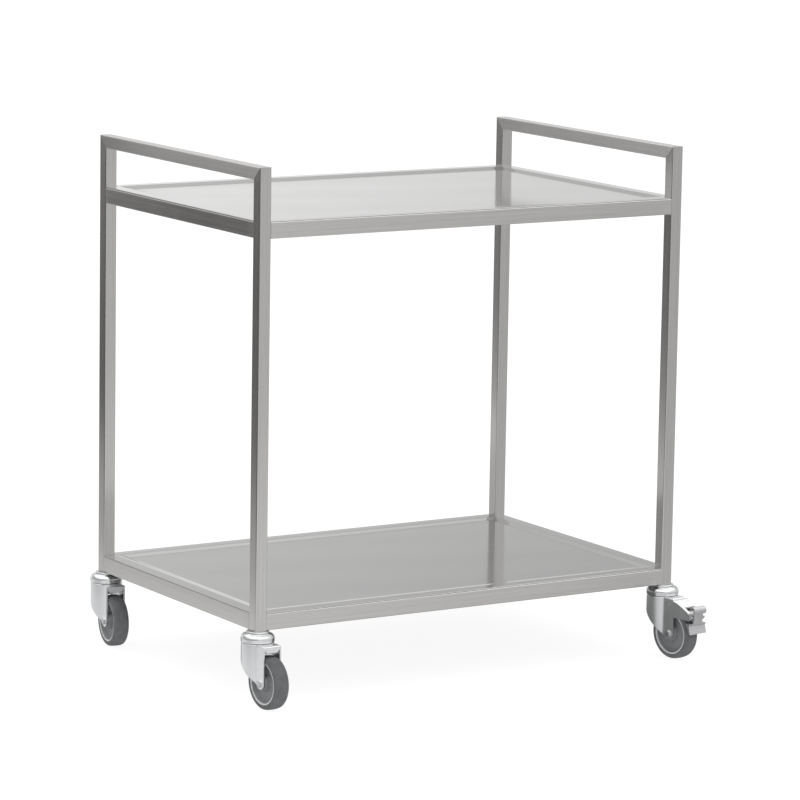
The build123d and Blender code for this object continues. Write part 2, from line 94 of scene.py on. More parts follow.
class Value:
    """A number that varies over a surface; arithmetic on it adds Math nodes."""

    def __init__(self, shader: "Shader", socket: bpy.types.NodeSocket) -> None:
        """Wrap one output socket of a node tree."""
        self.shader = shader
        self.socket = socket

    def math(self, operation: str, *others: Any, flip: bool = False) -> "Value":
        """Add one Math node.

        Args:
            operation: the node's operation.
            others: further operands, values or numbers.
            flip: put this value after the first of the others.

        Returns:
            The node's result.
        """
        terms = (others[0], self) if flip else (self, *others)
        node = self.shader.add("Math", {"operation": operation}, dict(enumerate(terms)))
        return Value(self.shader, node.outputs[0])

    def __add__(self, other: Any) -> "Value":
        """This value plus another."""
        return self.math("ADD", other)

    __radd__ = __add__

    def __sub__(self, other: Any) -> "Value":
        """This value less another."""
        return self.math("SUBTRACT", other)

    def __rsub__(self, other: Any) -> "Value":
        """Another value less this one."""
        return self.math("SUBTRACT", other, flip=True)

    def __mul__(self, other: Any) -> "Value":
        """This value times another."""
        return self.math("MULTIPLY", other)

    __rmul__ = __mul__

    def __neg__(self) -> "Value":
        """This value with its sign changed."""
        return self.math("MULTIPLY", -1.0)

    def ramp(self, low: float, high: float) -> "Value":
        """Smooth step from 0 at low to 1 at high."""
        node = self.shader.add(
            "MapRange",
            {"interpolation_type": "SMOOTHSTEP"},
            {"Value": self, "From Min": low, "From Max": high},
        )
        return Value(self.shader, node.outputs["Result"])


class Shader:
    """Fills one node tree."""

    def __init__(self, tree: bpy.types.NodeTree) -> None:
        """Start from an empty tree."""
        self.tree = tree
        tree.nodes.clear()

    def join(self, value: Any, socket: bpy.types.NodeSocket) -> None:
        """Link a value or a socket to an input, or set the input to a constant."""
        if isinstance(value, Value):
            value = value.socket
        if isinstance(value, bpy.types.NodeSocket):
            self.tree.links.new(value, socket)
        else:
            socket.default_value = value

    def add(self, kind: str, settings: dict | None = None, sockets: dict | None = None) -> bpy.types.Node:
        """Add a node.

        Args:
            kind: the node's type, without its ShaderNode prefix.
            settings: the node's own properties, set first.
            sockets: a constant, a socket or a Value for each input, by name or number.

        Returns:
            The new node.
        """
        node = self.tree.nodes.new("ShaderNode" + kind)
        for name, value in (settings or {}).items():
            setattr(node, name, value)
        for name, value in (sockets or {}).items():
            self.join(value, node.inputs[name])
        return node

    def scaled(self, vector: bpy.types.NodeSocket, factors: tuple) -> bpy.types.NodeSocket:
        """The vector with each component times its own factor."""
        return self.add("VectorMath", {"operation": "MULTIPLY"}, {0: vector, 1: factors}).outputs[0]

    def noise(
        self, vector: bpy.types.NodeSocket, scale: float, detail: float, roughness: float,
        flat: bool = False,
    ) -> Value:
        """Fractal noise about 0.5 over a vector; flat reads only its first two components."""
        node = self.add(
            "TexNoise",
            {"noise_dimensions": "2D" if flat else "3D"},
            {"Vector": vector, "Scale": scale, "Detail": detail, "Roughness": roughness},
        )
        return Value(self, node.outputs[0])

    def mix(self, factor: Any, first: Any, second: Any) -> bpy.types.NodeSocket:
        """Blend two colours."""
        settings = {"data_type": "RGBA", "clamp_factor": True}
        return self.add("Mix", settings, {0: factor, 6: first, 7: second}).outputs[2]

    def bump(self, height: Value, distance: float) -> bpy.types.NodeSocket:
        """A normal tilted by a height, whose full step is distance metres."""
        node = self.add("Bump", {}, {"Strength": 1.0, "Distance": distance, "Height": height})
        return node.outputs[0]

    def two_tone(self, factor: Value, colour: Colour, spread: float) -> bpy.types.NodeSocket:
        """A colour that a factor takes from darker to lighter, each by a share of spread."""
        return self.mix(factor, rgba(colour, 1.0 - spread), rgba(colour, 1.0 + spread))


def fade(factor: Value, first: Value | float, second: Value | float) -> Value:
    """The first value where the factor is 0, the second where it is 1, and in proportion between."""
    return factor * (second - first) + first


def rgba(colour: Colour, gain: float) -> tuple[float, float, float, float]:
    """A colour times a gain, with full alpha."""
    return (*(min(1.0, part * gain) for part in colour), 1.0)


def new_material(name: str) -> tuple[bpy.types.Material, Shader]:
    """A named material with an empty node tree."""
    material = bpy.data.materials.new(name)
    material.use_nodes = True
    return material, Shader(material.node_tree)


def close_material(shader: Shader, surface: dict) -> None:
    """Add the surface shader with the given inputs, and the material output."""
    base = shader.add("BsdfPrincipled", {}, surface)
    shader.add("OutputMaterial", {}, {"Surface": base.outputs[0]})


class Coat:
    """A finish that can be made into a material."""

    def surface(self, shader: Shader) -> dict:
        """The surface shader's inputs."""
        raise NotImplementedError

    def dress(self, name: str) -> bpy.types.Material:
        """Make the material.

        Args:
            name: its name.

        Returns:
            The material.
        """
        material, shader = new_material(name)
        close_material(shader, self.surface(shader))
        return material


@dataclass(frozen=True)
class BrushedSteel(Coat):
    """Stainless steel with a grain that follows the piece's own grain map.

    The map is in metres, across the grain and along it. Fine and broad streaks vary the colour and the
    roughness and cut shallow lines. Near a tube's end, attribute from_end fades in the rougher patches
    that are left where a weld was blended. lines and broad are streaks per metre each way.
    """

    colour: Colour
    roughness: float
    anisotropy: float
    streaks: float = 0.07
    rough_streaks: float = 0.05
    depth: float = 3e-6
    smudges: float = 0.03
    smudge_scale: float = 7.0
    lines: tuple[float, float] = (2600.0, 22.0)
    broad: tuple[float, float] = (260.0, 3.0)
    fine_share: float = 0.6
    blend_length: float = 0.022
    blend_gain: float = 0.0
    blend_scale: float = 260.0

    def surface(self, shader: Shader) -> dict:
        """The surface shader's inputs."""
        grain = shader.add("UVMap", {"uv_map": GRAIN_MAP}).outputs[0]
        place = shader.add("TexCoord").outputs["Object"]
        fine_map, broad_map = (shader.scaled(grain, (*each, 0.0)) for each in (self.lines, self.broad))
        fine = shader.noise(fine_map, 1.0, detail=3.0, roughness=0.65, flat=True)
        broad = shader.noise(broad_map, 1.0, detail=2.0, roughness=0.5, flat=True)
        cloud = shader.noise(place, self.smudge_scale, detail=3.0, roughness=0.55)
        streak = fine * self.fine_share + broad * (1.0 - self.fine_share)
        tone = shader.two_tone(streak.ramp(0.25, 0.75), self.colour, self.streaks)
        rough = (streak - 0.5) * (2.0 * self.rough_streaks) + (cloud - 0.5) * (2.0 * self.smudges)
        rough = rough + self.roughness
        if self.blend_gain:
            end = shader.add("Attribute", {"attribute_name": END_DISTANCE}).outputs["Fac"]
            near = 1.0 - Value(shader, end).ramp(0.25 * self.blend_length, self.blend_length)
            patches = shader.noise(place, self.blend_scale, detail=3.0, roughness=0.6).ramp(0.3, 0.6)
            rough = rough + near * patches * self.blend_gain
        tangent = shader.add("Tangent", {"direction_type": "UV_MAP", "uv_map": GRAIN_MAP}).outputs[0]
        return {
            "Base Color": tone,
            "Metallic": 1.0,
            "Roughness": rough,
            "Anisotropic": self.anisotropy,
            "Normal": shader.bump(streak, self.depth),
            "Tangent": tangent,
        }


@dataclass(frozen=True)
class PlatedSteel(Coat):
    """Plated steel: crystal mottle in the colour, wiping marks in the roughness and a faint peel."""

    colour: Colour
    roughness: float
    mottle: float = 0.06
    mottle_scale: float = 900.0
    cloud_scale: float = 25.0
    wear: float = 0.08
    wear_scale: float = 60.0
    peel: float = 4e-6

    def surface(self, shader: Shader) -> dict:
        """The surface shader's inputs."""
        place = shader.add("TexCoord").outputs["Object"]
        crystal = shader.noise(place, self.mottle_scale, detail=2.0, roughness=0.6)
        wiped = shader.noise(place, self.wear_scale, detail=4.0, roughness=0.6)
        cloud = shader.noise(place, self.cloud_scale, detail=2.0, roughness=0.5)
        patches = (crystal * 0.5 + cloud * 0.5).ramp(0.3, 0.7)
        return {
            "Base Color": shader.two_tone(patches, self.colour, self.mottle),
            "Metallic": 1.0,
            "Roughness": (wiped - 0.5) * (2.0 * self.wear) + self.roughness,
            "Normal": shader.bump(crystal, self.peel),
        }


@dataclass(frozen=True)
class Moulded(Coat):
    """Moulded rubber or plastic: a grain from the mould, and soft patches of colour and of sheen."""

    colour: Colour
    roughness: float
    patches: float
    patch_scale: float
    patch_detail: tuple[float, float]
    sheen_change: float
    grain_scale: float
    grain_roughness: float
    depth: float
    specular: float

    def surface(self, shader: Shader) -> dict:
        """The surface shader's inputs."""
        place = shader.add("TexCoord").outputs["Object"]
        grain = shader.noise(place, self.grain_scale, detail=2.0, roughness=self.grain_roughness)
        patch = shader.noise(place, self.patch_scale, *self.patch_detail)
        return {
            "Base Color": shader.two_tone(patch.ramp(0.3, 0.7), self.colour, self.patches),
            "Roughness": (patch - 0.5) * self.sheen_change + self.roughness,
            "Specular IOR Level": self.specular,
            "Normal": shader.bump(grain, self.depth),
        }


RUBBER = partial(
    Moulded, roughness=0.72, patches=0.12, patch_scale=90.0, patch_detail=(4.0, 0.6), sheen_change=0.2,
    grain_scale=2200.0, grain_roughness=0.6, depth=3e-5, specular=0.35,
)
PLASTIC = partial(
    Moulded, patches=0.06, patch_scale=120.0, patch_detail=(3.0, 0.5), sheen_change=0.16,
    grain_scale=1500.0, grain_roughness=0.55, depth=1.5e-5, specular=0.5,
)


class Finish(Enum):
    """Every finish on the trolley."""

    TUBE = BrushedSteel((0.662, 0.648, 0.633), 0.20, 0.82, blend_gain=0.035)
    HANDLE = BrushedSteel((0.725, 0.710, 0.695), 0.36, 0.80, blend_gain=0.02)
    TRAY = BrushedSteel(
        (0.540, 0.533, 0.527), 0.12, 0.55, streaks=0.025, rough_streaks=0.02, depth=6e-7,
        smudges=0.02, lines=(1800.0, 12.0), broad=(150.0, 2.0),
    )
    WELD = BrushedSteel((0.60, 0.59, 0.58), 0.30, 0.2, streaks=0.05, depth=2e-6)
    CHROME = PlatedSteel((0.80, 0.81, 0.82), 0.10, mottle=0.02, wear=0.05, peel=1e-6)
    FORK = PlatedSteel((0.91, 0.92, 0.93), 0.34, mottle=0.05, wear=0.08)
    PEDAL = PlatedSteel((0.60, 0.60, 0.61), 0.46, mottle=0.07, wear=0.10)
    ZINC = PlatedSteel((0.68, 0.69, 0.70), 0.34, mottle=0.08, wear=0.10)
    HARDENED = PlatedSteel((0.46, 0.46, 0.48), 0.28, mottle=0.06, wear=0.08)
    TYRE = RUBBER((0.126, 0.128, 0.133))
    HUB = PLASTIC((0.215, 0.218, 0.226), 0.48)
    HUB_RING = PLASTIC((0.62, 0.625, 0.63), 0.40)

    def material(self) -> bpy.types.Material:
        """The finish's material, made once."""
        name = self.name.lower() + "_finish"
        return bpy.data.materials.get(name) or self.value.dress(name)


# ------------------------------------------------------------------ surfaces


@dataclass
class Patch:
    """A surface as a grid of points.

    points is (rows, columns, 3). measure holds the distance of each row line and each column line, with
    one more for a direction that closes on itself. The grain runs along the columns' direction, or along
    the rows' where grain_rows is set. Where given, from_end is each point's distance to the nearest end,
    keep says which cells are there, split is the way that a cell is cut in two (0 uncut, 1 or 2 for its
    diagonals), and finish is the number of the surface's or each cell's finish.
    """

    points: np.ndarray
    closed: tuple[bool, bool]
    measure: tuple[np.ndarray, np.ndarray]
    grain_rows: bool = False
    from_end: np.ndarray | None = None
    keep: np.ndarray | None = None
    split: np.ndarray | None = None
    finish: int | np.ndarray = 0

    def cells(self) -> tuple[np.ndarray, np.ndarray]:
        """The grid's cells.

        Returns:
            Each cell's four corners as point numbers, and as (row line, column line) pairs.
        """
        rows, columns = self.points.shape[:2]
        counts = [n if wrap else n - 1 for n, wrap in zip((rows, columns), self.closed)]
        row, column = (a.ravel() for a in np.meshgrid(*map(np.arange, counts), indexing="ij"))
        corners = ((0, 0), (1, 0), (1, 1), (0, 1))
        lines = np.stack([np.stack([row + i, column + j], 1) for i, j in corners], 1)
        return (lines[..., 0] % rows) * columns + lines[..., 1] % columns, lines


def mesh_of(name: str, patches: list[Patch], closed: bool = True) -> bpy.types.Mesh:
    """Join patches into one mesh with a grain map in metres.

    Args:
        name: the mesh's name.
        patches: its surfaces.
        closed: the surfaces bound solids, so their faces are turned outwards.

    Returns:
        The mesh, with coincident points merged.
    """
    faces, maps, finishes, start = [], [], [], 0
    for patch in patches:
        index, lines = patch.cells()
        index = index + start
        start += patch.points.shape[0] * patch.points.shape[1]
        row, column = patch.measure[0][lines[..., 0]], patch.measure[1][lines[..., 1]]
        chart = np.stack([column, row] if patch.grain_rows else [row, column], -1)
        finish = np.broadcast_to(patch.finish, len(index))
        keep = np.ones(len(index), bool) if patch.keep is None else patch.keep.ravel()
        split = np.zeros(len(index), int) if patch.split is None else patch.split.ravel()
        for way, corners in CELL_CUTS:
            chosen = keep & (split == way)
            faces += index[chosen][:, corners].tolist()
            maps.append(chart[chosen][:, corners].reshape(-1, 2))
            finishes.append(finish[chosen])
    points = np.concatenate([patch.points.reshape(-1, 3) for patch in patches])
    mesh = bpy.data.meshes.new(name)
    mesh.from_pydata(points.tolist(), [], faces)
    mesh.uv_layers.new(name=GRAIN_MAP).data.foreach_set("uv", np.concatenate(maps).ravel())
    mesh.polygons.foreach_set("material_index", np.concatenate(finishes).astype(np.int32))
    ends = [np.zeros(p.points.shape[:2]) if p.from_end is None else p.from_end for p in patches]
    mesh.attributes.new(END_DISTANCE, "FLOAT", "POINT").data.foreach_set(
        "value", np.concatenate([end.ravel() for end in ends]).astype(np.float32)
    )
    tidy_mesh(mesh, outwards=closed)
    return mesh


def tidy_mesh(mesh: bpy.types.Mesh, outwards: bool, flatten: float = 0.0) -> None:
    """Merge a mesh's coincident points.

    Args:
        mesh: the mesh.
        outwards: turn its faces outwards as well.
        flatten: join neighbouring faces whose planes differ by less than this angle, in radians.
    """
    work = bmesh.new()
    work.from_mesh(mesh)
    bmesh.ops.remove_doubles(work, verts=work.verts, dist=MERGE)
    if flatten:
        bmesh.ops.dissolve_limit(work, angle_limit=flatten, verts=work.verts, edges=work.edges)
    if outwards:
        bmesh.ops.recalc_face_normals(work, faces=work.faces)
    work.to_mesh(mesh)
    work.free()


@dataclass
class Piece:
    """One finished piece: its mesh, what it rides on, what it stands for and how its edges are dressed.

    sheet is a wall's thickness, added under the surface; edge rounds every edge sharper than crease.
    """

    name: str
    body: str
    slot: Slot
    mesh: bpy.types.Mesh
    finishes: tuple[Finish, ...]
    stands_for: tuple[str, ...] = ()
    sheet: float = 0.0
    edge: float = 0.0
    crease: float = 35.0

    def build(self) -> bpy.types.Object:
        """Place the piece in the scene.

        Returns:
            Its object, at the origin.
        """
        self.mesh.polygons.foreach_set("use_smooth", np.ones(len(self.mesh.polygons), bool))
        self.mesh.set_sharp_from_angle(angle=np.radians(self.crease))
        for finish in self.finishes:
            self.mesh.materials.append(finish.material())
        piece = bpy.data.objects.new(self.name, self.mesh)
        bpy.context.scene.collection.objects.link(piece)
        if self.sheet:
            wall = piece.modifiers.new("wall", "SOLIDIFY")
            wall.thickness, wall.offset, wall.use_even_offset = self.sheet, -1.0, True
        if self.edge:
            soft = piece.modifiers.new("edges", "BEVEL")
            soft.width, soft.segments = self.edge, 2
            soft.limit_method, soft.angle_limit = "ANGLE", np.radians(self.crease)
            soft.use_clamp_overlap, soft.harden_normals = True, False
        lie = piece.modifiers.new("flats", "WEIGHTED_NORMAL")
        lie.keep_sharp, lie.weight = True, 50
        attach(piece, self.body)
        if self.stands_for:
            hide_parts(*self.stands_for)
        LOG.info("%s: %d faces, on %s", self.name, len(self.mesh.polygons), self.body)
        return piece


def carried(node: str, name: str) -> bpy.types.Mesh:
    """A merged copy of a CAD node's mesh.

    Args:
        node: the CAD node.
        name: the copy's name.

    Returns:
        The copy, with coincident points merged and nearly level neighbours made one face.
    """
    source = frame["nodes"][node].data
    points = np.empty(3 * len(source.vertices), np.float32)
    source.vertices.foreach_get("co", points)
    corners = np.empty(len(source.loops), np.int32)
    source.loops.foreach_get("vertex_index", corners)
    mesh = bpy.data.meshes.new(name)
    mesh.from_pydata(points.reshape(-1, 3).tolist(), [], corners.reshape(-1, 3).tolist())
    tidy_mesh(mesh, outwards=False, flatten=FLAT)
    return mesh


def dressed(node: str, body: str, slot: Slot, finish: Finish, edge: float, crease: float = 35.0) -> None:
    """Make a piece from a merged copy of a CAD node.

    Args:
        node: the CAD node that it copies and stands for.
        body: what it rides on.
        slot: its material slot.
        finish: its finish.
        edge: how far its sharp edges are rounded.
        crease: edges sharper than this, in degrees, are sharp.
    """
    name = node + "_dressed"
    Piece(name, body, slot, carried(node, name), (finish,), (node,), edge=edge, crease=crease).build()


# ------------------------------------------------------------------ outlines


def rounded_loop(corners: Any, radii: Any, steps: int = 6) -> np.ndarray:
    """A closed outline with its corners rounded.

    Each arc's centre lies on its corner's bisector, radius / sin(half the corner) away; the arc turns
    evenly from the tangent point on one side to the one on the other.

    Args:
        corners: (n, 2) corner points, in order.
        radii: one radius, or one for each corner.
        steps: divisions of each arc.

    Returns:
        (n * (steps + 1), 2) points.
    """
    point = np.asarray(corners, float)
    radius = np.broadcast_to(np.asarray(radii, float), len(point))[:, None]
    back, ahead = (np.roll(point, shift, 0) - point for shift in (1, -1))
    back, ahead = (way / np.linalg.norm(way, axis=1, keepdims=True) for way in (back, ahead))
    half = np.arccos(np.clip((back * ahead).sum(1, keepdims=True), -1.0, 1.0)) / 2.0
    middle = (back + ahead) / np.linalg.norm(back + ahead, axis=1, keepdims=True)
    centre = point + middle * radius / np.sin(half)
    first, last = (point + way * radius / np.tan(half) - centre for way in (back, ahead))
    begin, end = (np.arctan2(arm[:, 1], arm[:, 0])[:, None] for arm in (first, last))
    sweep = (end - begin + np.pi) % TURN - np.pi
    angle = begin + sweep * np.linspace(0.0, 1.0, steps + 1)
    arcs = centre[:, None] + radius[:, None] * np.stack([np.cos(angle), np.sin(angle)], -1)
    return arcs.reshape(-1, 2)


def section(corners: Section) -> np.ndarray:
    """A turned part's closed outline, from each corner's radius, height and rounding."""
    table = np.array(corners)
    return rounded_loop(table[:, :2], table[:, 2])


def loop_distance(loop: np.ndarray) -> np.ndarray:
    """Distance along a closed outline at each of its points, and once round."""
    step = np.linalg.norm(np.roll(loop, -1, 0) - loop, axis=1)
    return np.concatenate([[0.0], np.cumsum(step)])


def even_loop(loop: np.ndarray, count: int) -> tuple[np.ndarray, np.ndarray]:
    """Points at equal distances round a closed outline.

    Args:
        loop: (n, 2) points, anticlockwise.
        count: how many points to give.

    Returns:
        The points and their outward unit normals.
    """
    distance = loop_distance(loop)
    at = np.linspace(0.0, distance[-1], count, endpoint=False)
    ring = np.concatenate([loop, loop[:1]])
    even = np.stack([np.interp(at, distance, ring[:, axis]) for axis in (0, 1)], 1)
    along = np.roll(even, -1, 0) - np.roll(even, 1, 0)
    normal = np.stack([along[:, 1], -along[:, 0]], 1)
    return even, normal / np.linalg.norm(normal, axis=1, keepdims=True)


def box_corners(width: float, height: float) -> np.ndarray:
    """The four corners of a centred rectangle, anticlockwise."""
    return np.array([[1, 1], [-1, 1], [-1, -1], [1, -1]]) * (width / 2, height / 2)


def upright(axis: np.ndarray) -> tuple[np.ndarray, np.ndarray]:
    """Two unit directions square to an axis and to each other."""
    helper = np.array([0.0, 0.0, 1.0]) if abs(axis[2]) < 0.9 else np.array([1.0, 0.0, 0.0])
    first = np.cross(helper, axis)
    first = first / np.linalg.norm(first)
    return first, np.cross(axis, first)


def turned(profile: np.ndarray, centre: Any, axis: Any, steps: int, finish: Any = 0) -> Patch:
    """A turned part: a closed profile carried round an axis.

    A point at radius r and height h stands at centre + h axis + r (cos a first + sin a second), where
    first and second are square to the axis and a goes once round.

    Args:
        profile: (n, 2) radius and height, in millimetres.
        centre: a point on the axis, in metres.
        axis: the axis' unit direction.
        steps: divisions of the turn.
        finish: the finish's number, or one for each profile step.

    Returns:
        The surface.
    """
    axis = np.asarray(axis, float)
    first, second = upright(axis)
    angle = np.linspace(0.0, TURN, steps, endpoint=False)
    ring = np.outer(np.cos(angle), first) + np.outer(np.sin(angle), second)
    shape = profile * MM
    points = np.asarray(centre, float) + shape[:, None, :1] * ring + shape[:, None, 1:] * axis
    mean = shape[:, 0].mean()
    measure = (loop_distance(shape), mean * np.linspace(0.0, TURN, steps + 1))
    spread = np.repeat(finish, steps) if np.ndim(finish) else finish
    return Patch(points, (True, True), measure, finish=spread)


# ------------------------------------------------------------------ welded frame


@dataclass
class Tube:
    """A straight rectangular tube with rounded corners, cut square or to a slope at each end.

    Its section lies in the directions a and b, and a point of the section at (a, b) starts at
    foot_cut . (a, b) and ends at length + head_cut . (a, b) along the tube.
    """

    node: str
    start: tuple[float, float, float]
    length: float
    along: tuple[float, float, float]
    side: tuple[float, float, float]
    section: tuple[float, float]
    foot_cut: tuple[float, float] = (0.0, 0.0)
    head_cut: tuple[float, float] = (0.0, 0.0)
    finish: Finish = Finish.TUBE
    wall: float = 1.5 * MM
    corner: float = 1.5 * MM
    inner_corner: float = 0.3 * MM
    arc_steps: int = 6
    margins: tuple[float, ...] = (0.0, 0.006, 0.014, 0.022, 0.06)

    def patch(self) -> Patch:
        """The tube's outer and inner walls and its two end rings, as one closed surface."""
        outer = rounded_loop(box_corners(*self.section), self.corner, self.arc_steps)
        hollow = [size - 2 * self.wall for size in self.section]
        inner = rounded_loop(box_corners(*hollow), self.inner_corner, self.arc_steps)
        margin = np.array(self.margins)
        station = np.concatenate([margin, [self.length / 2], self.length - margin[::-1]])
        loops = np.stack([inner, *[outer] * len(station), inner], 1)
        share = np.concatenate([[0.0], station / self.length, [1.0]])[None, :]
        foot = loops @ np.array(self.foot_cut)
        head = self.length + loops @ np.array(self.head_cut)
        reach = foot * (1 - share) + head * share
        along, side = np.array(self.along), np.array(self.side)
        lift = np.cross(along, side)
        across = loops[..., :1] * side + loops[..., 1:] * lift
        points = np.array(self.start) + across + reach[..., None] * along
        inside = [self.length + self.wall, 2 * self.length + 3 * self.wall]
        distance = np.concatenate([[-self.wall], station, inside])
        near = np.minimum(share, 1 - share) * self.length
        return Patch(
            points, (True, True), (loop_distance(outer), distance),
            from_end=np.broadcast_to(near, reach.shape),
        )

    def build(self) -> bpy.types.Object:
        """Make the tube's piece in place of its CAD node."""
        name = self.node + "_tube"
        mesh = mesh_of(name, [self.patch()])
        return Piece(name, "frame", Slot.TUBE, mesh, (self.finish,), (self.node,), crease=30.0).build()


@dataclass
class WeldedFrame:
    """Four posts, two mitred handle bars and eight rails."""

    half_length: float = 0.385
    half_width: float = 0.2575
    tube: float = 0.020
    foot: float = 0.117
    top: float = 0.824
    rail_height: float = 0.025
    rail_tops: dict[str, float] = field(default_factory=lambda: {"lower": 0.142, "upper": 0.741})

    def tubes(self) -> list[Tube]:
        """Every tube of the frame, with its mitres."""
        x, y = self.half_length - self.tube / 2, self.half_width - self.tube / 2
        square = (self.tube, self.tube)
        rise = self.top - self.tube / 2 - self.foot
        made = []
        for ends, sx in (("left", -1), ("right", 1)):
            for face, sy in (("front", -1), ("back", 1)):
                made.append(Tube(
                    f"post_{face}_{ends}", (sx * x, sy * y, self.foot), rise, (0, 0, 1), (1, 0, 0), square,
                    head_cut=(0.0, sy),
                ))
            made.append(Tube(
                f"handle_bar_{ends}", (sx * x, -y, self.top - self.tube / 2), 2 * y, (0, 1, 0), (0, 0, 1),
                square, foot_cut=(-1.0, 0.0), head_cut=(1.0, 0.0), finish=Finish.HANDLE,
            ))
        for level, rail_top in self.rail_tops.items():
            height = rail_top - self.rail_height / 2
            deep = (self.rail_height, self.tube)
            for face, sy in (("front", -1), ("back", 1)):
                made.append(Tube(
                    f"{level}_rail_{face}", (self.tube / 2 - x, sy * y, height), 2 * x - self.tube,
                    (1, 0, 0), (0, 0, 1), deep,
                ))
            for ends, sx in (("left", -1), ("right", 1)):
                made.append(Tube(
                    f"{level}_rail_{ends}", (sx * x, self.tube / 2 - y, height), 2 * y - self.tube,
                    (0, 1, 0), (0, 0, 1), deep,
                ))
        return made

    def build(self) -> None:
        """Make every tube and the welds at the rails' ends."""
        for tube in self.tubes():
            tube.build()
        RailWelds([tube for tube in self.tubes() if "_rail_" in tube.node]).build()


@dataclass
class RailWelds:
    """Weld beads round the ends of the rails, ground flush where they show from outside and above.

    A bead is a ring round the rail's section: its round cross-section has a rippled radius and its
    centre is sunk under the rail's surface, so that only proud stands out.
    """

    rails: list[Tube]
    radius: float = 1.5 * MM
    ripple: float = 0.07
    ripples: int = 52
    proud: float = 0.7 * MM
    flush: float = -0.05 * MM
    count: int = 208
    steps: int = 8

    def bead(self, rail: Tube, reach: float) -> Patch:
        """One bead.

        Args:
            rail: the rail that it goes round.
            reach: its distance along the rail.

        Returns:
            The bead's surface.
        """
        outline = rounded_loop(box_corners(*rail.section), rail.corner, rail.arc_steps)
        loop, normal = even_loop(outline, self.count)
        along, side = np.array(rail.along), np.array(rail.side)
        lift = np.cross(along, side)
        outward = normal[:, :1] * side + normal[:, 1:] * lift
        away = np.array(rail.start) * (1 - np.abs(along)) * (1, 1, 0)
        away = away / np.linalg.norm(away)
        ground = np.clip(np.maximum(outward @ away, outward[:, 2]), 0.0, 1.0)[:, None]
        stand = self.proud * (1 - ground) + self.flush * ground
        turn = TURN * np.arange(self.count)[:, None] / self.count
        thick = self.radius * (1 + self.ripple * np.sin(self.ripples * turn) * (1 - ground))
        core = np.array(rail.start) + loop[:, :1] * side + loop[:, 1:] * lift + reach * along
        core = core - outward * (self.radius - stand)
        angle = np.linspace(0.0, TURN, self.steps, endpoint=False)
        ring = np.cos(angle)[None, :, None] * outward[:, None] + np.sin(angle)[None, :, None] * along
        points = core[:, None] + thick[..., None] * ring
        measure = (
            np.linspace(0.0, 4 * rail.section[0], self.count + 1),
            np.linspace(0.0, TURN * self.radius, self.steps + 1),
        )
        return Patch(points, (True, True), measure)

    def build(self) -> bpy.types.Object:
        """Make all beads as one piece."""
        beads = [self.bead(rail, reach) for rail in self.rails for reach in (0.0, rail.length)]
        mesh = mesh_of("rail_welds", beads)
        return Piece("rail_welds", "frame", Slot.TUBE, mesh, (Finish.WELD,)).build()


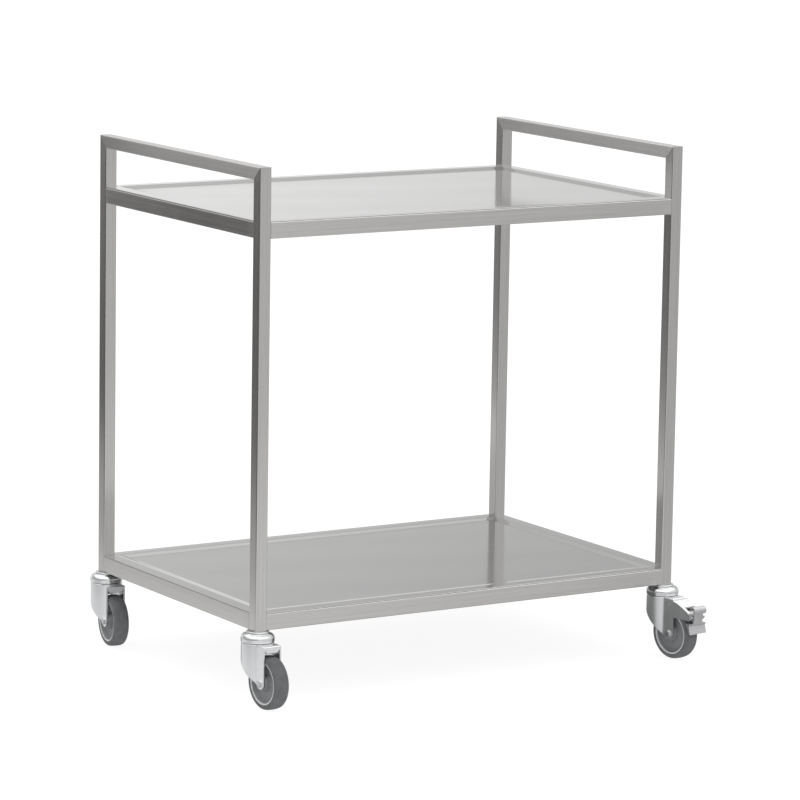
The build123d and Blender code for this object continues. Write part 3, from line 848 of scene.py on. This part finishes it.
@dataclass
class Tray:
    """A pressed tray: a flat rim, a sloping border and a sunk panel, notched round the posts.

    Height falls from the rim by drop times a ramp of the distance to the nearest side, and the ramp is
    averaged over the bend's width, which rounds both of its corners. The panel carries a faint ripple,
    the product of two slanting waves, which dies away over calm_margin towards the border.
    """

    node: str
    rim_top: float
    half_length: float = 0.385
    half_width: float = 0.2575
    inset: float = 1.0 * MM
    notch: float = 20.4 * MM
    rim: float = 24.0 * MM
    border_end: float = 38.0 * MM
    drop: float = 3.0 * MM
    sheet: float = 1.5 * MM
    bend: float = 2.2 * MM
    ripple: float = 0.10 * MM
    ripple_waves: tuple[float, float, float, float] = (0.37, 0.61, 0.29, 0.83)
    calm_margin: float = 0.05
    edge: float = 0.7 * MM
    spans: tuple[int, int] = (54, 36)
    bend_lines: int = 9

    def lines(self, half: float, spans: int) -> np.ndarray:
        """Grid lines across the tray, close together where the sheet bends."""
        close = np.linspace(-1.0, 1.0, self.bend_lines) * self.bend
        flat = [self.inset, self.notch, (self.rim + self.border_end) / 2]
        edge = np.unique(np.concatenate([flat, self.rim + close, self.border_end + close]))
        inside = np.linspace(-half + edge[-1], half - edge[-1], spans + 1)[1:-1]
        return np.concatenate([edge - half, inside, half - edge[::-1]])

    def ramp(self, distance: np.ndarray) -> np.ndarray:
        """The border's ramp averaged over the bend, from the integral of a straight ramp."""
        width = self.border_end - self.rim

        def area(d: np.ndarray) -> np.ndarray:
            """Integral of the straight ramp up to d."""
            inside = np.clip(d - self.rim, 0.0, width)
            return inside**2 / (2 * width) + np.maximum(d - self.border_end, 0.0)

        return (area(distance + self.bend) - area(distance - self.bend)) / (2 * self.bend)

    def patch(self) -> Patch:
        """The tray's upper surface, with its corner cells cut along the mitres."""
        x, y = self.lines(self.half_length, self.spans[0]), self.lines(self.half_width, self.spans[1])
        gx, gy = np.meshgrid(x, y, indexing="ij")
        side_x, side_y = self.half_length - np.abs(gx), self.half_width - np.abs(gy)
        distance = np.minimum(side_x, side_y)
        calm = np.clip((distance - self.border_end) / self.calm_margin, 0.0, 1.0)
        a, b, c, d = self.ripple_waves
        wave = np.sin(TURN * (gx / a + gy / b)) * np.cos(TURN * (gy / c - gx / d))
        sunk = self.drop * self.ramp(distance)
        z = self.rim_top - sunk + self.ripple * wave * calm**2 * (3 - 2 * calm)
        mid_x, mid_y = (x[1:] + x[:-1]) / 2, (y[1:] + y[:-1]) / 2
        cx, cy = np.meshgrid(mid_x, mid_y, indexing="ij")
        cell_x, cell_y = self.half_length - np.abs(cx), self.half_width - np.abs(cy)
        cut_away = (cell_x < self.notch) & (cell_y < self.notch)
        bent = np.maximum(cell_x, cell_y) < self.border_end + self.bend
        split = np.where(bent, np.where(cx * cy > 0, 1, 2), 0)
        points = np.stack([gx, gy, z], -1)
        return Patch(points, (False, False), (x, y), grain_rows=True, keep=~cut_away, split=split)

    def build(self) -> bpy.types.Object:
        """Make the tray's piece in place of its CAD node."""
        name = self.node + "_sheet"
        mesh = mesh_of(name, [self.patch()], closed=False)
        return Piece(
            name, "frame", Slot.TRAY, mesh, (Finish.TRAY,), (self.node,),
            sheet=self.sheet, edge=self.edge, crease=50.0,
        ).build()


# ------------------------------------------------------------------ castors


@dataclass(frozen=True)
class Stand:
    """Where a castor stands: its swivel axis on the floor, its wheel's centre and its axle's direction."""

    place: str

    @property
    def swivel(self) -> np.ndarray:
        """The foot of the swivel axis."""
        return np.array(JOINTS["swivel_" + self.place]["pos_m"]) * (1, 1, 0)

    @property
    def wheel(self) -> np.ndarray:
        """The wheel's centre."""
        return np.array(JOINTS["roll_" + self.place]["pos_m"])

    @property
    def axle(self) -> np.ndarray:
        """The axle's direction, towards the bolt's head."""
        return np.array(JOINTS["roll_" + self.place]["axis"])


STANDS = tuple(Stand(place) for place in PLACES)


@dataclass
class SwivelHeads:
    """The plugs, stems, washers, domes and ball races between the posts and the forks, in millimetres.

    The washer is thick with rounded rims. The dome is pressed: a flat top, a round side that draws in
    at its lip, and the inner wall. Both are sections of (radius, height, rounding) corners.
    """

    washer: Section = ((5.2, 113.2, 0.2), (17.6, 113.2, 1.2), (17.6, 116.2, 1.2), (5.2, 116.2, 0.2))
    dome: Section = (
        (5.3, 113.2, 0.2), (18.2, 113.2, 2.6), (23.6, 111.2, 4.6), (26.0, 107.2, 5.5), (25.7, 100.0, 0.6),
        (23.6, 100.0, 0.4), (23.7, 106.4, 3.2), (21.6, 109.6, 2.6), (17.2, 111.0, 1.6), (5.3, 111.0, 0.2),
    )
    turn_steps: int = 96

    def build(self) -> None:
        """Make the turned parts, and dress merged copies of the inner ones."""
        for node, corners in (("swivel_washers", self.washer), ("swivel_domes", self.dome)):
            name = node + "_turned"
            loop = section(corners)
            patches = [turned(loop, stand.swivel, UP, self.turn_steps) for stand in STANDS]
            Piece(name, "frame", Slot.CHROME, mesh_of(name, patches), (Finish.CHROME,), (node,)).build()
        for node, slot, finish, edge in (
            ("post_plugs", Slot.ZINC, Finish.ZINC, 0.5),
            ("caster_stems", Slot.CHROME, Finish.CHROME, 0.4),
            ("upper_ball_cups", Slot.ZINC, Finish.ZINC, 0.3),
            ("lower_ball_cups", Slot.ZINC, Finish.ZINC, 0.3),
            ("swivel_balls", Slot.HARDENED, Finish.HARDENED, 0.0),
        ):
            dressed(node, "frame", slot, finish, edge * MM)


@dataclass
class Forks:
    """The pressed forks with their axle bolts, nuts and sleeves, in millimetres."""

    half_width: float = 16.0
    flats: float = 10.0
    head: float = 3.0
    nut: float = 5.0
    shank: float = 3.0
    past_nut: float = 2.0
    pitch: float = 1.0
    thread: float = 0.35
    thread_steps: int = 64
    run_in: float = 1.0
    tip_length: float = 0.9
    tip_draft: float = 0.7
    nut_bore: float = 2.8
    face: float = 0.94
    pressing_edge: float = 0.7 * MM
    sides: int = 96

    def hex_radius(self, angle: np.ndarray) -> np.ndarray:
        """Distance to a hexagon's side: half the flats / cos(the angle from that side's middle)."""
        third = np.pi / 3
        return self.flats / 2 / np.cos((angle + third / 2) % third - third / 2)

    def placed(self, radius: np.ndarray, height: np.ndarray, stand: Stand) -> Patch:
        """Carry a (rows, turn) grid of radii and heights to a castor's axle."""
        first, second = upright(stand.axle)
        angle = np.linspace(0.0, TURN, radius.shape[1], endpoint=False)
        ring = np.outer(np.cos(angle), first) + np.outer(np.sin(angle), second)
        points = stand.wheel + MM * (radius[..., None] * ring + height[..., None] * stand.axle)
        rows = np.arange(radius.shape[0] + 1) * MM
        round_it = np.linspace(0.0, TURN * self.flats / 2 * MM, self.sides + 1)
        return Patch(points, (True, True), (rows, round_it))

    def hexagon(self, low: float, high: float, bore: float, chamfers: tuple[bool, bool]) -> tuple:
        """A hexagonal block whose corners are turned off by a cone at its ends.

        The outline at each height is the smaller of the hexagon's and the cone's radius; the cone
        starts at face times half the flats on the end face and opens at 30 degrees to it.

        Args:
            low: one end, along the axle.
            high: the other end.
            bore: radius of the hole, 0 for a closed face.
            chamfers: whether the low and the high end are turned.

        Returns:
            Radii and heights, (rows, turn).
        """
        angle = np.linspace(0.0, TURN, self.sides, endpoint=False)
        ends = np.linspace(0.0, 0.22, 7), np.linspace(0.5, 0.78, 2), np.linspace(0.8, 1.0, 7)
        level = np.concatenate(ends) * (high - low) + low
        opening = np.tan(np.pi / 3)
        start = self.face * self.flats / 2
        far = np.full_like(level, 2 * self.flats)
        cone = np.minimum(
            start + (level - low) * opening if chamfers[0] else far,
            start + (high - level) * opening if chamfers[1] else far,
        )
        side = np.minimum(self.hex_radius(angle)[None, :], cone[:, None])
        hole = np.full((1, self.sides), bore)
        radius = np.concatenate([hole, side, hole])
        height = np.concatenate([[low], level, [high]])[:, None] * np.ones_like(radius)
        return radius, height

    def bolt_shank(self) -> tuple:
        """The shank and its thread.

        Past the fork the radius dips by a sine of turns of the pitch plus the angle, which fades in over
        run_in, and the tip draws in by tip_draft over tip_length.

        Returns:
            Radii and heights, (rows, turn).
        """
        angle = np.linspace(0.0, TURN, self.sides, endpoint=False)[None, :]
        end = -(self.half_width + self.nut + self.past_nut)
        plain = [self.half_width, -self.half_width + self.run_in]
        threaded = np.linspace(-self.half_width, end, self.thread_steps)
        level = np.concatenate([plain, threaded])[:, None]
        cut = np.clip((-self.half_width - level) / self.run_in, 0.0, 1.0)
        wave = 0.5 + 0.5 * np.sin(TURN * level / self.pitch + angle)
        tip = np.clip((level - end) / self.tip_length, 0.0, 1.0)
        radius = self.shank - self.thread * cut * wave - self.tip_draft * (1 - tip)
        shut = np.zeros((1, self.sides))
        height = np.concatenate([level[:1], level, level[-1:]]) * np.ones((1, self.sides))
        return np.concatenate([shut, radius, shut]), height

    def build(self) -> None:
        """Make each fork with its axle parts."""
        for stand in STANDS:
            body = "fork_" + stand.place
            name = body + "_pressing"
            Piece(
                name, body, Slot.FORK, carried(body, name), (Finish.FORK,), (body,),
                edge=self.pressing_edge, crease=32.0,
            ).build()
            w = self.half_width
            head = self.placed(*self.hexagon(w, w + self.head, 0.0, (False, True)), stand)
            shank = self.placed(*self.bolt_shank(), stand)
            nut = self.placed(*self.hexagon(-w - self.nut, -w, self.nut_bore, (True, True)), stand)
            for part, patches in (("axle_bolt", [head, shank]), ("axle_nut", [nut])):
                node = f"{part}_{stand.place}"
                name = node + "_cut"
                mesh = mesh_of(name, patches)
                Piece(name, body, Slot.ZINC, mesh, (Finish.ZINC,), (node,), crease=24.0).build()
            dressed("axle_sleeve_" + stand.place, body, Slot.ZINC, Finish.ZINC, 0.0)


@dataclass
class Wheels:
    """Tyre, hub and bearing of each castor, in millimetres.

    Each section is given on one side of the wheel's middle, as (radius, distance from the middle,
    rounding) corners. The tyre has a slightly crowned tread, round shoulders and a mould line. The hub
    has a raised pale ring by the tyre, a dished web and a boss. The bearing is a bush with a lip and a
    groove in its end faces. The hub's first and last pale_steps are the ring.
    """

    tyre: Section = (
        (41.5, 0.22, 0.1), (41.38, 0.5, 0.1), (41.2, 6.0, 9.0), (40.2, 12.3, 5.0), (33.6, 12.5, 0.5),
    )
    hub: Section = (
        (33.6, 11.8, 0.4), (31.4, 11.8, 0.6), (30.9, 10.4, 0.8), (27.4, 5.2, 2.6), (13.5, 5.0, 1.4),
        (11.5, 12.5, 0.9), (9.0, 12.5, 0.3),
    )
    bearing: Section = (
        (9.0, 12.5, 0.05), (8.6, 12.68, 0.15), (8.1, 12.68, 0.1), (7.8, 12.2, 0.15), (7.2, 12.2, 0.15),
        (6.9, 12.68, 0.1), (6.1, 12.68, 0.2),
    )
    pale_steps: int = 17

    def whole(self, half: Section) -> np.ndarray:
        """The closed outline of a section and its mirror image."""
        return section(half + tuple((radius, -out, rounding) for radius, out, rounding in half[::-1]))

    def build(self) -> None:
        """Make each wheel."""
        step = np.arange(len(self.whole(self.hub)))
        pale = (step < self.pale_steps) | (step[::-1] <= self.pale_steps)
        hub_finishes = (Finish.HUB, Finish.HUB_RING)
        for stand in STANDS:
            for part, slot, half, finishes, which, turns in (
                ("tyre", Slot.TYRE, self.tyre, (Finish.TYRE,), 0, 144),
                ("hub", Slot.HUB, self.hub, hub_finishes, pale.astype(int), 120),
                ("bearing", Slot.HARDENED, self.bearing, (Finish.HARDENED,), 0, 72),
            ):
                node = f"{part}_{stand.place}"
                name = node + "_moulded"
                mesh = mesh_of(name, [turned(self.whole(half), stand.wheel, stand.axle, turns, which)])
                Piece(
                    name, "wheel_" + stand.place, slot, mesh, finishes, (node,), crease=40.0
                ).build()


@dataclass
class Brakes:
    """The braked castors' pedals, shoes, pins and springs, dressed from merged copies."""

    def build(self) -> None:
        """Dress each brake part."""
        for place in BRAKED:
            for part, body, slot, finish, edge in (
                ("brake_pedal", "brake", Slot.PEDAL, Finish.PEDAL, 0.3),
                ("brake_shoe", "brake", Slot.TYRE, Finish.TYRE, 0.3),
                ("brake_pins", "fork", Slot.ZINC, Finish.ZINC, 0.3),
                ("brake_spring", "fork", Slot.HARDENED, Finish.HARDENED, 0.1),
            ):
                dressed(f"{part}_{place}", f"{body}_{place}", slot, finish, edge * MM, crease=32.0)


# ------------------------------------------------------------------ studio


@dataclass
class Studio:
    """Pale floor, soft light from all round and the camera.

    The floor that the camera sees is plain. The polished parts mirror a second, lit floor, which is
    brightest in front of the trolley, shaded under it and falls away to its left. skew is the same all
    along the line in which a post's left face mirrors that floor, so it tells the posts apart.
    """

    eye: tuple[float, float, float] = (-3.497, -5.7115, 1.5242)
    right: tuple[float, float, float] = (0.85248, -0.52251, 0.01607)
    back: tuple[float, float, float] = (-0.51770, -0.83958, 0.16460)
    lens: float = 190.59
    sensor: float = 36.0
    reach: float = 30.0
    white: Colour = (1.0, 1.0, 1.0)
    floor_tone: Colour = (0.16, 0.16, 0.16)
    floor_mottle: float = 0.03
    floor_glow: float = 0.91
    # The sky's brightness, and the bands of a direction's x, y or z over which it changes.
    overhead: float = 1.5
    backdrop: float = 1.0
    backdrop_top: float = 0.58
    front: float = 0.80
    left_wall: float = 0.58
    right_wall: float = 0.86
    middle_gain: float = 1.12
    below: float = 0.35
    behind_band: Band = (-0.2, 0.3)
    backdrop_band: Band = (0.09, 0.225)
    right_band: Band = (0.44, 0.60)
    left_band: Band = (-0.62, -0.2)
    overhead_band: Band = (0.34, 0.8)
    horizon_band: Band = (-0.03, 0.01)
    # The lit floor's brightness, and the bands of x or of skew over which it changes.
    floor_gain: float = 0.60
    spot_gain: float = 0.10
    spot_at: Band = (0.0, -1.2)
    spot_size: Band = (0.9, 1.1)
    skew_slope: float = 0.62
    skew_gain: Band = (1.07, 0.87)
    skew_band: Band = (-0.7, 0.5)
    dark: float = 0.11
    lit_band: Band = (-1.62, -1.0)
    right_gain: float = 0.8
    right_skew: Band = (0.25, 0.5)
    beside_gain: float = 0.15
    beside_in: Band = (-0.75, -0.66)
    beside_out: Band = (-0.48, -0.35)
    far_left_gain: float = 0.76
    far_left_band: Band = (-0.82, -0.70)
    shade_half: Band = (0.36, 0.22)
    shade_gain: float = 0.22
    shade_reach: float = 0.16

    def camera(self) -> None:
        """Set the camera, its axes made square."""
        back = np.array(self.back) / np.linalg.norm(self.back)
        right = np.array(self.right) - back * (back @ self.right)
        right = right / np.linalg.norm(right)
        turn = np.eye(4)
        turn[:3, :3] = np.stack([right, np.cross(back, right), back], 1)
        turn[:3, 3] = self.eye
        lens = bpy.data.cameras.new("camera")
        lens.lens, lens.sensor_width, lens.sensor_fit = self.lens, self.sensor, "HORIZONTAL"
        lens.clip_end = 4 * self.reach
        camera = bpy.data.objects.new("camera", lens)
        camera.matrix_world = Matrix(turn.tolist())
        bpy.context.scene.collection.objects.link(camera)
        bpy.context.scene.camera = camera

    def sky(self) -> None:
        """Light from all round: a bright low backdrop, softer above it, and a wide light overhead."""
        world = bpy.data.worlds.new("studio")
        world.use_nodes = True
        bpy.context.scene.world = world
        shader = Shader(world.node_tree)
        direction = shader.add("TexCoord").outputs["Generated"]
        parts = shader.add("SeparateXYZ", {}, {0: direction})
        x, y, z = (Value(shader, output) for output in parts.outputs)
        behind = y.ramp(*self.behind_band)
        backdrop = fade(z.ramp(*self.backdrop_band), self.backdrop, self.backdrop_top)
        backdrop = backdrop * fade(x.ramp(*self.right_band), self.middle_gain, self.right_wall)
        around = fade(behind, self.front, backdrop)
        around = around * fade(x.ramp(*self.left_band), self.left_wall, 1.0)
        above = fade(z.ramp(*self.overhead_band), around, self.overhead)
        light = fade(z.ramp(*self.horizon_band), self.below, above)
        seen = Value(shader, shader.add("LightPath").outputs["Is Camera Ray"])
        strength = fade(seen, light, 1.0)
        glow = shader.add("Background", {}, {"Color": (*self.white, 1.0), "Strength": strength})
        shader.add("OutputWorld", {}, {"Surface": glow.outputs[0]})

    def plane(self, name: str, height: float, material: bpy.types.Material) -> bpy.types.Object:
        """A wide square sheet at one height, facing up."""
        line = np.linspace(-self.reach, self.reach, 5)
        gx, gy = np.meshgrid(line, line, indexing="ij")
        patch = Patch(np.stack([gx, gy, np.full_like(gx, height)], -1), (False, False), (line, line))
        sheet = bpy.data.objects.new(name, mesh_of(name, [patch], closed=False))
        sheet.data.materials.append(material)
        bpy.context.scene.collection.objects.link(sheet)
        return sheet

    def floor(self) -> None:
        """The plain floor, which lights matt parts and takes soft shadows."""
        material, shader = new_material("floor_paint")
        place = shader.add("TexCoord").outputs["Object"]
        cloud = shader.noise(place, 0.8, detail=2.0, roughness=0.5)
        surface = {
            "Base Color": shader.two_tone(cloud, self.floor_tone, self.floor_mottle),
            "Roughness": 1.0,
            "Specular IOR Level": 0.0,
            "Emission Color": (*self.white, 1.0),
            "Emission Strength": self.floor_glow,
        }
        close_material(shader, surface)
        self.plane("floor", 0.0, material).visible_glossy = False

    def lit_floor(self) -> None:
        """The floor as the polished parts see it."""
        material, shader = new_material("lit_floor")
        parts = shader.add("SeparateXYZ", {}, {0: shader.add("TexCoord").outputs["Object"]})
        x, y = Value(shader, parts.outputs[0]), Value(shader, parts.outputs[1])
        spans = zip((x, y), self.spot_at, self.spot_size)
        away_x, away_y = ((axis - at) * (1.0 / size) for axis, at, size in spans)
        spot = (-(away_x * away_x + away_y * away_y)).math("EXPONENT")
        skew = x + y * self.skew_slope
        lit = (spot * self.spot_gain + self.floor_gain) * fade(skew.ramp(*self.skew_band), *self.skew_gain)
        left = x.ramp(*self.lit_band).math("MAXIMUM", skew.ramp(*self.right_skew) * self.right_gain)
        beside = x.ramp(*self.beside_in) * (1.0 - x.ramp(*self.beside_out)) * self.beside_gain
        lit = lit * fade(x.ramp(*self.far_left_band), self.far_left_gain, 1.0)
        fall = fade(left, self.dark, lit + beside)
        out_x, out_y = (
            (axis.math("ABSOLUTE") - half).math("MAXIMUM", 0.0)
            for axis, half in zip((x, y), self.shade_half)
        )
        out = (out_x * out_x + out_y * out_y).math("SQRT")
        strength = fall * fade(out.ramp(0.0, self.shade_reach), self.shade_gain, 1.0)
        glow = shader.add("Emission", {}, {"Color": (*self.white, 1.0), "Strength": strength})
        shader.add("OutputMaterial", {}, {"Surface": glow.outputs[0]})
        sheet = self.plane("lit_floor", -0.002, material)
        sheet.visible_camera = sheet.visible_diffuse = sheet.visible_shadow = False
        sheet.visible_transmission = sheet.visible_volume_scatter = False

    def build(self) -> None:
        """Set up the studio."""
        bpy.context.scene.view_settings.view_transform = "Standard"
        self.camera()
        self.sky()
        self.floor()
        self.lit_floor()


def main() -> None:
    """Build the studio and every part of the trolley."""
    logging.basicConfig(level=logging.INFO, format="%(message)s")
    Studio().build()
    WeldedFrame().build()
    for node, rim_top in (("lower_tray", 0.1435), ("upper_tray", 0.7425)):
        Tray(node, rim_top).build()
    SwivelHeads().build()
    Forks().build()
    Wheels().build()
    Brakes().build()


if __name__ == "__main__":
    main()
